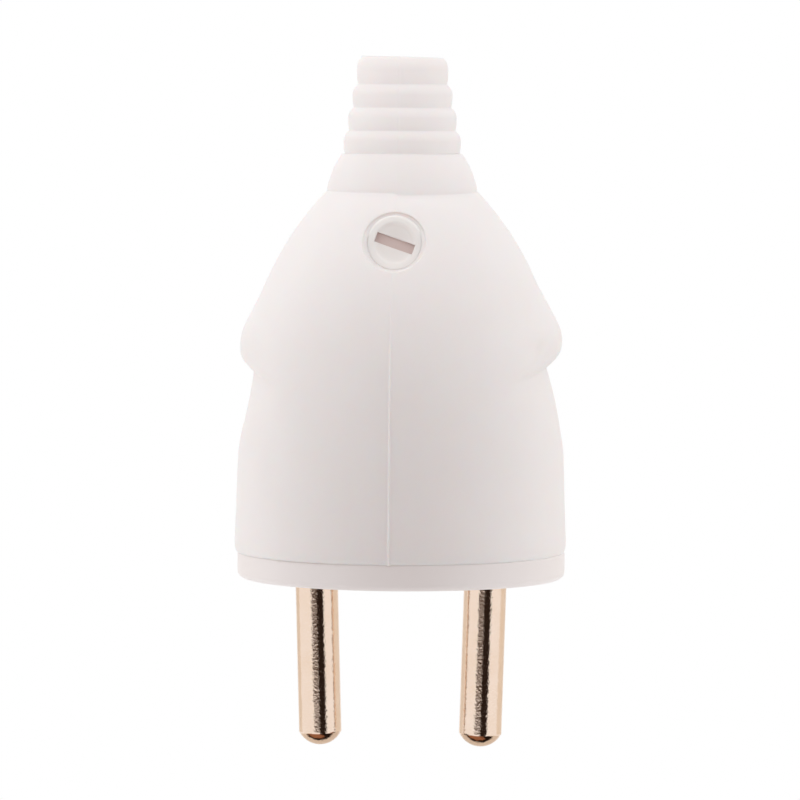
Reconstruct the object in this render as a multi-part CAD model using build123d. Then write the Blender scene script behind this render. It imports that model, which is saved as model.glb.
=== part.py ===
from build123d import *
import math
import os

# Earthed power plug with two round pins, for a cord that is fitted by hand.
# Millimetres and degrees. The origin is the centre of the engagement face, +Z runs up
# the axis to the cord neck, the pins point down and the cover screw faces -Y.

# Pins and terminals
PIN_PITCH = 19.0  # between the pin axes at the engagement face
PIN_D = 4.8
PIN_LENGTH = 19.0  # free length below the face
PIN_DOME_H = 1.5
PIN_DOME_EDGE_R = 0.4
PIN_TOE_IN = 1.6  # lean of each pin towards the other one
SHANK_D = 5.2
FLANGE_D = 8.8
FLANGE_T = 1.5
TERMINAL_D = 6.8
TERMINAL_H = 10.0  # above the floor of the base
WIRE_HOLE_D = 3.2
WIRE_HOLE_DROP = 4.2  # below the top of each terminal
TERMINAL_EDGE = 0.4
SEAT_GAP = 0.05  # clearance of metal pieces in their seats

# Earth socket, a split sleeve that takes the earth pin of the wall outlet
EARTH_Y = 10.0
EARTH_BORE_D = 4.9
EARTH_BORE_L = 14.5
EARTH_WALL = 0.85
EARTH_LIP = 1.0  # plastic left in front of the sleeve
EARTH_MOUTH_D = 5.6
EARTH_MOUTH_EDGE = 0.5
EARTH_SLIT_W = 0.8
EARTH_SLIT_H = 9.0
EARTH_HEAD_H = 6.5  # solid terminal head behind the bore

# Base with its round face
FACE_D = 36.7
FACE_EDGE_R = 0.8
RIM_H = 3.05  # height of the rim below the cover
RIM_EDGE_R = 0.4
FLOOR_T = 5.0
SPIGOT_H = 4.5  # above the rim, inside the skirt
SPIGOT_WALL = 0.8
SPIGOT_GAP = 0.15
PIN_HOLE_EDGE = 0.3

# Cover, one soft moulding
SKIRT_LIP = 0.2  # the skirt stands out this far past the face
SKIRT_DRAFT = 2.6
SKIRT_EDGE_R = 0.7
WALL = 1.8
SHOULDER_Z = 15.3  # where the skirt turns into the bell
CREASE_Z = 43.3  # where the bell meets the flare of the neck
CREASE_D = 16.9
BELL_POWER = 3.05  # how late and how hard the bell turns in
BELL_STEPS = 6
CEILING_SLOPE = 20.0

# Ringed neck of the cover
FLARE_H = 4.45
FLARE_BULGE = 0.3
RING_COUNT = 4
RING_PITCH = 2.58
RING_SIDE_H = 1.05  # the upright part of each ring
RING_TUCK = 0.13  # each ring draws in this much at its lower edge
RING_TUCK_H = 0.35
RING_TOP_D = 10.2
RING_GROWTH = 0.97  # gain in diameter from one ring to the next one down
TOP_RING_H = 2.91
NECK_EDGE_W = 0.6  # rounding of the neck's top, inwards and down
NECK_EDGE_H = 1.5
CORD_BORE_D = 8.0
BORE_EDGE = 0.25

# Finger ears and the recesses below them
EAR_Z = 23.4  # crease at the foot of the ears
EAR_PROUD = 1.2
EAR_LIP_H = 2.1  # from the crease up to the lip
EAR_LIP_BULGE = 0.28  # rounding of the underside
EAR_LIP_SLOPE = 75.0
EAR_BAND_H = 2.0
EAR_BAND_R = 2.0  # rounding above the band
EAR_RAMP = 30.0  # slope of the ears' upper side, from upright
EAR_RAMP_H = 6.0
EAR_PLAN_R = 12.5
RECESS_DEPTH = 1.0  # at the crease
RECESS_BOTTOM_Z = 15.9
RECESS_PLAN_R = 22.0
RECESS_REACH = 5.0  # the cutting ring's width, past the skirt

# Cover screw, in a pit of the shoulder
SCREW_DROP = 5.3  # from the crease down to the screw's axis, on the shoulder
SCREW_TILT = 8.0
SCREW_SINK = 1.5  # the head's face below the shoulder, on the screw's axis
SCREW_HEAD_D = 6.35
SCREW_HEAD_H = 2.0
SCREW_HEAD_EDGE_R = 0.55
SCREW_DISH_D = 4.5
SCREW_DISH_DEPTH = 0.3
SCREW_SLOT_W = 1.1
SCREW_SLOT_DEPTH = 1.0  # below the dish
SCREW_SLOT_TURN = -19.0
SCREW_SHANK_D = 3.9
SCREW_SHANK_L = 4.2
SCREW_PIT_GAP = 0.28
BOSS_WALL = 1.45
BOSS_FLOOR_T = 1.2

# Insert: the plate that traps the pins, and the stem for the clamp and the cover screw
PLATE_T = 3.0
PLATE_GAP = 0.2
CAVITY_GAP = 0.4  # the stem stays this clear of the cover's wall
STEM_W = 10.4
STEM_T = 2.6
STEM_HEAD_W = 7.2
STEM_HEAD_RISE = 0.4  # above the pad of the cover screw
STEM_ROOM = 0.4  # between the stem and the cord
RIB_W = 2.0
RIB_H = 3.0
PAD_D = 6.8
PLATE_SCREW_Y = -8.0
PLATE_SCREW_ROOM = 0.6  # between the screw heads and the stem

# Cord clamp
CLAMP_Z = 27.0
CLAMP_H = 6.0
CLAMP_W = 22.6
CLAMP_T = 2.2
CLAMP_CHANNEL_D = 7.4  # a little under the cord, to grip it
CLAMP_SCREW_EDGE = 2.8  # from the axis of each screw to the clamp's end
WING_T = 5.0
WING_MARGIN = 0.5  # the wings stand out this far past the clamp, above and below

# Small screws
SMALL_SCREW_D = 2.9
SMALL_HEAD_D = 5.2
SMALL_HEAD_H = 1.7
SMALL_HEAD_EDGE = 0.4
SMALL_SLOT_W = 0.8
SMALL_SLOT_DEPTH = 0.9
TERMINAL_SCREW_L = 3.6
PLATE_SCREW_L = 6.4
CLAMP_SCREW_L = 6.0
TIP_ROOM = 0.4  # blind holes are this much deeper than their screws

# Heights and radii that follow
LEAN = math.tan(math.radians(PIN_TOE_IN))
SEAT_X = PIN_PITCH / 2 + FLOOR_T / 2 * LEAN
PLATE_TOP = FLOOR_T + PLATE_T
PLATE_SWAY = PLATE_T / 2 * LEAN + SEAT_GAP
PLATE_HOLE_X = PIN_PITCH / 2 + (FLOOR_T + PLATE_T / 2) * LEAN
FACE_R = FACE_D / 2
SKIRT_R = FACE_R + SKIRT_LIP
SPIGOT_INNER_R = SKIRT_R - WALL - SPIGOT_GAP - SPIGOT_WALL
PLATE_R = SPIGOT_INNER_R - PLATE_GAP
SCREW_Z = CREASE_Z - SCREW_DROP
FLARE_TOP = CREASE_Z + FLARE_H
NECK_TOP = FLARE_TOP + (RING_COUNT - 1) * RING_PITCH + TOP_RING_H
FLANGE_PLAY = FLANGE_D / 2 * math.sin(math.radians(PIN_TOE_IN)) + SEAT_GAP
POCKET_DEPTH = FLANGE_T + 2 * FLANGE_PLAY
FLANGE_Z = FLOOR_T - POCKET_DEPTH + FLANGE_PLAY
TERMINAL_TOP = FLOOR_T + TERMINAL_H
EARTH_TOP = EARTH_LIP + EARTH_BORE_L + EARTH_HEAD_H
EARTH_SLEEVE_D = EARTH_BORE_D + 2 * EARTH_WALL
PLATE_SCREW_X = STEM_W / 2 + SMALL_HEAD_D / 2 + PLATE_SCREW_ROOM
STEM_BACK_Y = -(CORD_BORE_D / 2 + STEM_ROOM)
ARCH_R = CLAMP_CHANNEL_D / 2 + CLAMP_T
CLAMP_SCREW_X = CLAMP_W / 2 - CLAMP_SCREW_EDGE
SIDES = (-1, 1)
THROUGH = 100.0  # longer than the whole plug
MATCH = 0.01  # two places this close are the same


def rod(diameter, bottom, top):
    """Upright round bar on the Z axis between two heights."""
    bar = Cylinder(diameter / 2, top - bottom, align=(Align.CENTER, Align.CENTER, Align.MIN))
    return Pos(0, 0, bottom) * bar


def block(x_range, y_range, z_range):
    """Rectangular block between two values on each axis."""
    spans = (x_range, y_range, z_range)
    size = [high - low for low, high in spans]
    middle = [(high + low) / 2 for low, high in spans]
    return Pos(*middle) * Box(*size)


def turned(profile):
    """Solid of revolution about Z from a closed outline of (radius, height)."""
    return revolve(Plane.YZ * make_face(profile), Axis.Z)


def ring_edges(solid, height, radius):
    """Round edges about the Z axis at one height and radius."""
    rounds = solid.edges().filter_by(GeomType.CIRCLE)
    near = lambda e: abs(e.center().Z - height) < MATCH and abs(e.radius - radius) < MATCH
    return rounds.filter_by(near)


# Outline of the bell

def bell_turn(z):
    """How far the bell has turned in at a height, from 0 on the skirt to 1 at the crease."""
    return max(0.0, (z - SHOULDER_Z) / (CREASE_Z - SHOULDER_Z))


def skirt_radius(z):
    return SKIRT_R - (z - RIM_H) * math.tan(math.radians(SKIRT_DRAFT))


BELL_GAIN = skirt_radius(CREASE_Z) - CREASE_D / 2


def bell_radius(z):
    """Outside radius of the cover below the crease, without its ears."""
    return skirt_radius(z) - BELL_GAIN * bell_turn(z) ** BELL_POWER


def bell_slope(z):
    """Change of that radius with height."""
    turn = BELL_POWER * bell_turn(z) ** (BELL_POWER - 1) / (CREASE_Z - SHOULDER_Z)
    return -math.tan(math.radians(SKIRT_DRAFT)) - BELL_GAIN * turn


def bell_point(z, inset):
    """Point of the bell's wall, moved in square to the outside."""
    slope = bell_slope(z)
    length = math.hypot(1, slope)
    return (bell_radius(z) - inset / length, z + inset * slope / length)


def bell_curve(inset):
    """Line up the skirt and curve over the bell, from the rim to the crease."""
    rise = CREASE_Z - SHOULDER_Z
    heights = [SHOULDER_Z + rise * step / BELL_STEPS for step in range(BELL_STEPS + 1)]
    points = [bell_point(z, inset) for z in heights]
    ends = [(bell_slope(SHOULDER_Z), 1), (bell_slope(CREASE_Z), 1)]
    return Line(bell_point(RIM_H, inset), points[0]) + Spline(points, tangents=ends)


def cavity(gap):
    """Room inside the cover, closed to the neck's bore, with a gap kept from its wall."""
    inset = WALL + gap
    low, high = bell_point(RIM_H, inset), bell_point(CREASE_Z, inset)
    bore_r = CORD_BORE_D / 2
    ceiling = high[1] + (high[0] - bore_r) * math.tan(math.radians(CEILING_SLOPE))
    rest = Polyline(high, (bore_r, ceiling), (0, ceiling), (0, 0), (low[0], 0), low)
    room = turned(bell_curve(inset) + rest)
    for side in SIDES:
        room -= recess(side, inset)
    return room


# Finger ears and recesses

FOOT_R = bell_radius(EAR_Z) - RECESS_DEPTH
LIP_Z = EAR_Z + EAR_LIP_H
EAR_R = bell_radius(LIP_Z + EAR_BAND_H / 2) + EAR_PROUD


def ear(side):
    """Finger ledge on one side: an upright band with a ramp above it, open below."""
    band_z, axis_x = LIP_Z + EAR_BAND_H, EAR_R - EAR_PLAN_R
    low, top = EAR_Z - RECESS_DEPTH, band_z + EAR_RAMP_H
    ramp_r = EAR_PLAN_R - EAR_RAMP_H * math.tan(math.radians(EAR_RAMP))
    outline = [(0, low), (EAR_PLAN_R, low), (EAR_PLAN_R, band_z), (ramp_r, top), (0, top)]
    rounding = [0, 0, EAR_BAND_R, 0, 0]
    return Pos(side * axis_x, 0, 0) * turned(FilletPolyline(outline, radius=rounding, close=True))


def recess(side, inset):
    """Ring that cuts the finger recess and the rounded underside of the ear above it."""
    axis_x = FOOT_R - RECESS_PLAN_R
    slant = (bell_radius(RECESS_BOTTOM_Z) - FOOT_R) / (EAR_Z - RECESS_BOTTOM_Z)
    low, reach = RECESS_BOTTOM_Z - RECESS_REACH, SKIRT_R - axis_x + RECESS_REACH
    crease = (RECESS_PLAN_R - inset, EAR_Z + inset)
    lip = (EAR_R - axis_x - inset, LIP_Z + inset)
    brow = lip[1] + (reach - lip[0]) * math.tan(math.radians(EAR_LIP_SLOPE))
    foot = (RECESS_PLAN_R - inset + (crease[1] - low) * slant, low)
    walls = Polyline(crease, foot, (reach, low), (reach, brow), lip)
    return Pos(side * axis_x, 0, 0) * turned(walls + SagittaArc(lip, crease, EAR_LIP_BULGE))


# Neck of the cover

def ring_radius(index):
    """Radius of a ring, counted from the lowest one up."""
    return RING_TOP_D / 2 + (RING_COUNT - 1 - index) * RING_GROWTH / 2


NECK_EDGE = (RING_TOP_D / 2 - NECK_EDGE_W, NECK_TOP)


def neck_curve():
    """Flare and rings of the neck, from the crease up to its top."""
    foot = (ring_radius(0) - RING_TUCK, FLARE_TOP)
    curve = SagittaArc((CREASE_D / 2, CREASE_Z), foot, -FLARE_BULGE)
    for index in range(RING_COUNT):
        radius, bottom = ring_radius(index), FLARE_TOP + index * RING_PITCH
        side = (radius, bottom + RING_TUCK_H + RING_SIDE_H)
        end = (ring_radius(index + 1) - RING_TUCK, bottom + RING_PITCH)
        if index == RING_COUNT - 1:
            side, end = (radius, NECK_TOP - NECK_EDGE_H), NECK_EDGE
        curve += Polyline((radius - RING_TUCK, bottom), (radius, bottom + RING_TUCK_H), side)
        curve += TangentArc(side, end, tangent=(0, 1))
    return curve


def cord_bore():
    """Bore of the neck, with a bevelled mouth."""
    bore_r, low, high = CORD_BORE_D / 2, CREASE_Z - WALL, NECK_TOP + WALL
    bevel = [(bore_r, NECK_TOP - BORE_EDGE), (bore_r + BORE_EDGE, NECK_TOP)]
    return turned(
        Polyline((0, low), (bore_r, low), *bevel, (bore_r + BORE_EDGE, high), (0, high), close=True)
    )


# Cover screw and its pit

SCREW_AXIS = Plane(
    origin=(0, -bell_radius(SCREW_Z), SCREW_Z),
    x_dir=(1, 0, 0),
    z_dir=(0, -math.cos(math.radians(SCREW_TILT)), math.sin(math.radians(SCREW_TILT))),
)
PIT_D = SCREW_HEAD_D + 2 * SCREW_PIT_GAP
PIT_FLOOR = -SCREW_SINK - SCREW_HEAD_H
BOSS_END = PIT_FLOOR - BOSS_FLOOR_T


def cover():
    """Bell-shaped moulding with ears, a ringed neck and an inner boss for its screw."""
    shut = Polyline(NECK_EDGE, (0, NECK_TOP), (0, RIM_H), (SKIRT_R, RIM_H))
    outside = turned(bell_curve(0) + neck_curve() + shut)
    outside = fillet(ring_edges(outside, RIM_H, SKIRT_R), SKIRT_EDGE_R)
    for side in SIDES:
        outside = outside + ear(side) - recess(side, 0)
    boss = SCREW_AXIS * rod(PIT_D + 2 * BOSS_WALL, BOSS_END, SKIRT_R) & outside
    pit = SCREW_AXIS * rod(PIT_D, PIT_FLOOR, SKIRT_R)
    hole = SCREW_AXIS * rod(SCREW_SHANK_D + 2 * SEAT_GAP, BOSS_END - WALL, PIT_FLOOR)
    return outside - cavity(0) + boss - cord_bore() - pit - hole


def cover_screw():
    """Slotted nylon screw with a dished head, standing on its pit's floor."""
    face = -SCREW_SINK
    head = rod(SCREW_HEAD_D, PIT_FLOOR, face)
    head = fillet(ring_edges(head, face, SCREW_HEAD_D / 2), SCREW_HEAD_EDGE_R)
    dish_z = face - SCREW_DISH_DEPTH
    head -= rod(SCREW_DISH_D, dish_z, face)
    half_l, half_w = SCREW_DISH_D / 2, SCREW_SLOT_W / 2
    slot = block((-half_l, half_l), (-half_w, half_w), (dish_z - SCREW_SLOT_DEPTH, dish_z))
    head -= Rot(0, 0, SCREW_SLOT_TURN) * slot
    return SCREW_AXIS * (head + rod(SCREW_SHANK_D, PIT_FLOOR - SCREW_SHANK_L, PIT_FLOOR))


# Base

def spigot_radius(z):
    return skirt_radius(z) - WALL - SPIGOT_GAP


def base():
    """Face disc with a rim, a spigot inside the skirt, and seats for pins and earth socket."""
    spigot_top = RIM_H + SPIGOT_H
    outline = Polyline(
        (0, 0),
        (FACE_R, 0),
        (FACE_R, RIM_H),
        (spigot_radius(RIM_H), RIM_H),
        (spigot_radius(spigot_top), spigot_top),
        (SPIGOT_INNER_R, spigot_top),
        (SPIGOT_INNER_R, FLOOR_T),
        (0, FLOOR_T),
        close=True,
    )
    disc = turned(outline)
    disc = fillet(ring_edges(disc, 0, FACE_R), FACE_EDGE_R)
    disc = fillet(ring_edges(disc, RIM_H, FACE_R), RIM_EDGE_R)
    pocket_z, sway = FLOOR_T - POCKET_DEPTH, FLOOR_T / 2 * LEAN + SEAT_GAP
    hole_d, pocket_d = SHANK_D + 2 * sway, FLANGE_D + 2 * sway
    for side in SIDES:
        seat = Pos(side * SEAT_X, 0, 0)
        disc -= seat * (rod(hole_d, 0, FLOOR_T) + rod(pocket_d, pocket_z, FLOOR_T))
        screw_z = PLATE_TOP - PLATE_SCREW_L - TIP_ROOM
        screw = Pos(side * PLATE_SCREW_X, PLATE_SCREW_Y, 0)
        disc -= screw * rod(SMALL_SCREW_D + 2 * SEAT_GAP, screw_z, FLOOR_T)
    sleeve_z = EARTH_LIP - SEAT_GAP
    socket = rod(EARTH_MOUTH_D, 0, FLOOR_T) + rod(EARTH_SLEEVE_D + 2 * SEAT_GAP, sleeve_z, FLOOR_T)
    disc -= Pos(0, EARTH_Y, 0) * (socket + rod(pocket_d, pocket_z, FLOOR_T))
    mouths = ring_edges(disc, 0, EARTH_MOUTH_D / 2)
    disc = chamfer(mouths, EARTH_MOUTH_EDGE)
    return chamfer(ring_edges(disc, 0, hole_d / 2), PIN_HOLE_EDGE)


# Pins, earth socket and their screws

def terminal(top, foot):
    """Pillar terminal with a wire hole across it and a tapped hole from its top."""
    pillar = rod(TERMINAL_D, foot, top)
    pillar = chamfer(ring_edges(pillar, top, TERMINAL_D / 2), TERMINAL_EDGE)
    wire_z = top - WIRE_HOLE_DROP
    wire_hole = Pos(0, 0, wire_z) * Rot(0, 90, 0) * Cylinder(WIRE_HOLE_D / 2, TERMINAL_D)
    return pillar - wire_hole - rod(SMALL_SCREW_D + 2 * SEAT_GAP, wire_z, top)


def pin_place(side):
    """Frame of one pin: its axis leans about the point where it meets the face."""
    return Pos(side * PIN_PITCH / 2, 0, 0) * Rot(0, side * PIN_TOE_IN, 0)


def pin(side):
    """Turned brass pin with a domed tip, a trapped flange and its pillar terminal."""
    tip, dome = (0, -PIN_LENGTH), (PIN_D / 2, PIN_DOME_H - PIN_LENGTH)
    sides = Polyline(dome, (PIN_D / 2, 0), (0, 0), tip)
    free = turned(TangentArc(tip, dome, tangent=(1, 0)) + sides)
    free = fillet(ring_edges(free, dome[1], PIN_D / 2), PIN_DOME_EDGE_R)
    flange = rod(FLANGE_D, FLANGE_Z, FLANGE_Z + FLANGE_T)
    shank = rod(SHANK_D, 0, FLANGE_Z)
    return pin_place(side) * (free + shank + flange + terminal(TERMINAL_TOP, FLANGE_Z))


def earth_socket():
    """Brass sleeve, slit so that it springs, with a flange and a terminal head."""
    bore_end = EARTH_LIP + EARTH_BORE_L
    sleeve = rod(EARTH_SLEEVE_D, EARTH_LIP, bore_end) + terminal(EARTH_TOP, bore_end)
    sleeve += rod(FLANGE_D, FLANGE_Z, FLANGE_Z + FLANGE_T)
    sleeve -= rod(EARTH_BORE_D, EARTH_LIP, bore_end)
    half_w, half_d = EARTH_SLIT_W / 2, EARTH_SLEEVE_D / 2
    slit_z = (EARTH_LIP, EARTH_LIP + EARTH_SLIT_H)
    sleeve -= block((-half_w, half_w), (-half_d, half_d), slit_z)
    return Pos(0, EARTH_Y, 0) * sleeve


def small_screw(length):
    """Slotted cheese-head screw, with the underside of its head at the origin."""
    head = rod(SMALL_HEAD_D, 0, SMALL_HEAD_H)
    head = fillet(ring_edges(head, SMALL_HEAD_H, SMALL_HEAD_D / 2), SMALL_HEAD_EDGE)
    half_l, half_w = SMALL_HEAD_D / 2, SMALL_SLOT_W / 2
    slot_z = (SMALL_HEAD_H - SMALL_SLOT_DEPTH, SMALL_HEAD_H)
    head -= block((-half_l, half_l), (-half_w, half_w), slot_z)
    return head + rod(SMALL_SCREW_D, -length, 0)


def terminal_screw(place, top):
    return place * Pos(0, 0, top) * small_screw(TERMINAL_SCREW_L)


# Insert and cord clamp

def clamp_screw_place(side):
    """Frame of one clamp screw, its head on the back of the clamp."""
    return Pos(side * CLAMP_SCREW_X, CLAMP_T, CLAMP_Z) * Rot(-90, 0, 0)


def insert():
    """Carrier plate with a stem: wings for the cord clamp, and a pad for the cover screw."""
    plate = rod(2 * PLATE_R, FLOOR_T, PLATE_TOP)
    for side in SIDES:
        terminal_hole = rod(TERMINAL_D + 2 * PLATE_SWAY, FLOOR_T, PLATE_TOP)
        plate -= Pos(side * PLATE_HOLE_X, 0, 0) * terminal_hole
        screw = Pos(side * PLATE_SCREW_X, PLATE_SCREW_Y, 0)
        plate -= screw * rod(SMALL_SCREW_D + 2 * SEAT_GAP, FLOOR_T, PLATE_TOP)
    plate -= Pos(0, EARTH_Y, 0) * rod(EARTH_SLEEVE_D + 2 * SEAT_GAP, FLOOR_T, PLATE_TOP)

    wing_low = CLAMP_Z - CLAMP_H / 2 - WING_MARGIN
    wing_high = CLAMP_Z + CLAMP_H / 2 + WING_MARGIN
    pad_middle = SCREW_AXIS.from_local_coords((0, 0, BOSS_END))
    stem_top = pad_middle.Z + PAD_D / 2 + STEM_HEAD_RISE
    stem_y = (STEM_BACK_Y - STEM_T, STEM_BACK_Y)
    half_stem, half_head, half_clamp = STEM_W / 2, STEM_HEAD_W / 2, CLAMP_W / 2
    stem = block((-half_stem, half_stem), stem_y, (PLATE_TOP, wing_high))
    stem += block((-half_head, half_head), stem_y, (wing_high, stem_top))
    stem += block((-half_clamp, half_clamp), (-WING_T, 0), (wing_low, wing_high))
    rib_y = (stem_y[0] - RIB_H, stem_y[0])
    stem += block((-RIB_W / 2, RIB_W / 2), rib_y, (PLATE_TOP, wing_high))
    stem -= rod(CLAMP_CHANNEL_D, wing_low, wing_high)
    pad_depth = (pad_middle.Y - STEM_BACK_Y + STEM_T / 2) / math.cos(math.radians(SCREW_TILT))
    stem += SCREW_AXIS * rod(PAD_D, BOSS_END + pad_depth, BOSS_END)
    stem -= SCREW_AXIS * rod(SCREW_SHANK_D + 2 * SEAT_GAP, BOSS_END - THROUGH, BOSS_END)
    for side in SIDES:
        depth = CLAMP_SCREW_L + TIP_ROOM
        stem -= clamp_screw_place(side) * rod(SMALL_SCREW_D + 2 * SEAT_GAP, -depth, 0)
    return plate + (stem & cavity(CAVITY_GAP))


def cord_clamp():
    """Saddle with an arch over the cord and a lug on each side for its screws."""
    strip = Pos(0, CLAMP_T / 2) * Rectangle(CLAMP_W, CLAMP_T)
    front = Pos(0, -ARCH_R / 2) * Rectangle(CLAMP_W, ARCH_R)
    section = strip + Circle(ARCH_R) - Circle(CLAMP_CHANNEL_D / 2) - front
    saddle = Pos(0, 0, CLAMP_Z) * extrude(section, CLAMP_H / 2, both=True)
    for side in SIDES:
        hole = rod(SMALL_SCREW_D + 2 * SEAT_GAP, -CLAMP_T, 0)
        head_room = rod(SMALL_HEAD_D + 2 * SEAT_GAP, 0, ARCH_R)
        saddle -= clamp_screw_place(side) * (hole + head_room)
    return saddle


PLATE_SCREWS = [
    Pos(side * PLATE_SCREW_X, PLATE_SCREW_Y, PLATE_TOP) * small_screw(PLATE_SCREW_L)
    for side in SIDES
]
CLAMP_SCREWS = [clamp_screw_place(side) * small_screw(CLAMP_SCREW_L) for side in SIDES]
EARTH_PLACE = Pos(0, EARTH_Y, 0)

PIECES = {
    "cover": cover(),
    "cover_screw": cover_screw(),
    "base": base(),
    "pin_live": pin(1),
    "pin_neutral": pin(-1),
    "earth_socket": earth_socket(),
    "terminal_screw_live": terminal_screw(pin_place(1), TERMINAL_TOP),
    "terminal_screw_neutral": terminal_screw(pin_place(-1), TERMINAL_TOP),
    "terminal_screw_earth": terminal_screw(EARTH_PLACE, EARTH_TOP),
    "insert": insert(),
    "insert_screws": Compound(PLATE_SCREWS),
    "cord_clamp": cord_clamp(),
    "cord_clamp_screws": Compound(CLAMP_SCREWS),
}

os.makedirs("parts", exist_ok=True)
for name, piece in PIECES.items():
    export_step(piece, f"parts/{name}.step")
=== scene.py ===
# Earthed power plug: two brass pins in a white face disc, under a soft bell-shaped cover.
# The frame is in metres. Sizes of the pieces are written in millimetres, with MM to turn them,
# and those of the floor, the camera and the cards in metres.

import math

import bpy
import numpy as np
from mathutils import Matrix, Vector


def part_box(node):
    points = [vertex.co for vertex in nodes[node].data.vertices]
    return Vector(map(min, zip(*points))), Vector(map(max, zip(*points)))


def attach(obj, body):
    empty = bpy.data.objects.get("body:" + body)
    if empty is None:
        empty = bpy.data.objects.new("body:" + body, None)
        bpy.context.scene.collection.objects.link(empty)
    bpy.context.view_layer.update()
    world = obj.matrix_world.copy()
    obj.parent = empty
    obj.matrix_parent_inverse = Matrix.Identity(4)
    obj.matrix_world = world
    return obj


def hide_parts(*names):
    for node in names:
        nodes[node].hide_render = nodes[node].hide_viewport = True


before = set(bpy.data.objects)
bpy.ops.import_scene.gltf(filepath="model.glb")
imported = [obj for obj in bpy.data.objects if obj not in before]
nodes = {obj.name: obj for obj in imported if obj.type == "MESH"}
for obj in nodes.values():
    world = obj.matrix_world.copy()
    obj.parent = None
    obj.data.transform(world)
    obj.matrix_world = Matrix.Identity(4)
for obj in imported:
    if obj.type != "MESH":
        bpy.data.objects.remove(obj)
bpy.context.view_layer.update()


# Base: the round face disc that closes the skirt of the cover and carries both pins.
# It is moulded in stiff white urea resin, and its rim shows below the cover.

MM = 0.001
BASE_WHITE = "#F8F1EF"
BASE_SHADE = "#F4EBE9"
BASE_CLOUD = 9.0 * MM
BASE_GRAIN = 0.22 * MM  # spark-eroded mould, drawn about twice as coarse so that it shows
BASE_GRAIN_DEPTH = 0.0025 * MM
BASE_ROUGHNESS = (0.36, 0.46)
UREA_IOR = 1.55


def colour(hex_code):
    """Linear RGBA of an sRGB hex colour."""
    parts = [int(hex_code[at : at + 2], 16) / 255 for at in (1, 3, 5)]
    return [p / 12.92 if p <= 0.04045 else ((p + 0.055) / 1.055) ** 2.4 for p in parts] + [1.0]


def start_material(name):
    """A new material, its node tree and the sockets of its shader."""
    material = bpy.data.materials.new(name)
    material.use_nodes = True
    tree = material.node_tree
    return material, tree, tree.nodes["Principled BSDF"].inputs


def add_node(tree, kind, inputs=None, **settings):
    """Adds a node, sets its properties, and fills or links its sockets."""
    node = tree.nodes.new(kind)
    for name, value in settings.items():
        setattr(node, name, value)
    for name, value in (inputs or {}).items():
        if isinstance(value, bpy.types.NodeSocket):
            tree.links.new(value, node.inputs[name])
        else:
            node.inputs[name].default_value = value
    return node


# Moulded urea resin: an even satin white with a faint cloudiness, a little glossier than the cover.
urea_resin, tree, shader = start_material("urea_resin_moulded")
place = add_node(tree, "ShaderNodeTexCoord").outputs["Object"]
cloud = add_node(tree, "ShaderNodeTexNoise", {"Vector": place, "Scale": 1 / BASE_CLOUD, "Detail": 3.0})
tint = add_node(
    tree,
    "ShaderNodeMix",
    {0: cloud.outputs["Fac"], 6: colour(BASE_WHITE), 7: colour(BASE_SHADE)},
    data_type="RGBA",
)
grain = add_node(tree, "ShaderNodeTexNoise", {"Vector": place, "Scale": 1 / BASE_GRAIN, "Detail": 2.0})
relief = add_node(tree, "ShaderNodeBump", {"Height": grain.outputs["Fac"], "Distance": BASE_GRAIN_DEPTH})
gloss = add_node(
    tree,
    "ShaderNodeMapRange",
    {"Value": cloud.outputs["Fac"], "To Min": BASE_ROUGHNESS[0], "To Max": BASE_ROUGHNESS[1]},
)
shader["IOR"].default_value = UREA_IOR
tree.links.new(tint.outputs[2], shader["Base Color"])
tree.links.new(gloss.outputs[0], shader["Roughness"])
tree.links.new(relief.outputs[0], shader["Normal"])
nodes["base"].material_slots[0].material = urea_resin


# Pins and earth sleeve: round brass bar, turned to shape with its terminal, then tumbled bright.
# Each pin is trapped by its flange between the base and the insert, and stands 19 mm out of the face.

BRASS_PALE = "#F3E0D2"
BRASS_WARM = "#EBD1BA"
BRASS_ROUGHNESS = (0.07, 0.13)
PIN_STAIN = 3.0 * MM
PIN_PEEL = 0.30 * MM  # dimples that tumbling leaves, drawn coarser than they are so that they show
PIN_PEEL_DEPTH = 0.026 * MM
PIN_TURNING = 0.09 * MM  # spacing of the turning marks
PIN_TURNING_DEPTH = 0.0006 * MM
BAND_LENGTH = 0.314  # spacing of the wave texture's bands at a scale of 1

# Tumbled brass: a pale gold mirror, broken by fine dimples and faint rings from the lathe.
brass, tree, shader = start_material("brass_turned_tumbled")
place = add_node(tree, "ShaderNodeTexCoord").outputs["Object"]
stain = add_node(tree, "ShaderNodeTexNoise", {"Vector": place, "Scale": 1 / PIN_STAIN, "Detail": 4.0})
tint = add_node(
    tree,
    "ShaderNodeMix",
    {0: stain.outputs["Fac"], 6: colour(BRASS_PALE), 7: colour(BRASS_WARM)},
    data_type="RGBA",
)
peel = add_node(tree, "ShaderNodeTexNoise", {"Vector": place, "Scale": 1 / PIN_PEEL, "Detail": 3.0})
rings = add_node(
    tree,
    "ShaderNodeTexWave",
    {"Vector": place, "Scale": BAND_LENGTH / PIN_TURNING, "Distortion": 6.0, "Detail": 2.0},
    bands_direction="Z",
)
turning = add_node(
    tree,
    "ShaderNodeBump",
    {"Height": rings.outputs["Fac"], "Distance": PIN_TURNING_DEPTH},
)
relief = add_node(
    tree,
    "ShaderNodeBump",
    {"Height": peel.outputs["Fac"], "Distance": PIN_PEEL_DEPTH, "Normal": turning.outputs[0]},
)
gloss = add_node(
    tree,
    "ShaderNodeMapRange",
    {"Value": stain.outputs["Fac"], "To Min": BRASS_ROUGHNESS[0], "To Max": BRASS_ROUGHNESS[1]},
)
shader["Metallic"].default_value = 1.0
tree.links.new(tint.outputs[2], shader["Base Color"])
tree.links.new(gloss.outputs[0], shader["Roughness"])
tree.links.new(relief.outputs[0], shader["Normal"])
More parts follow.
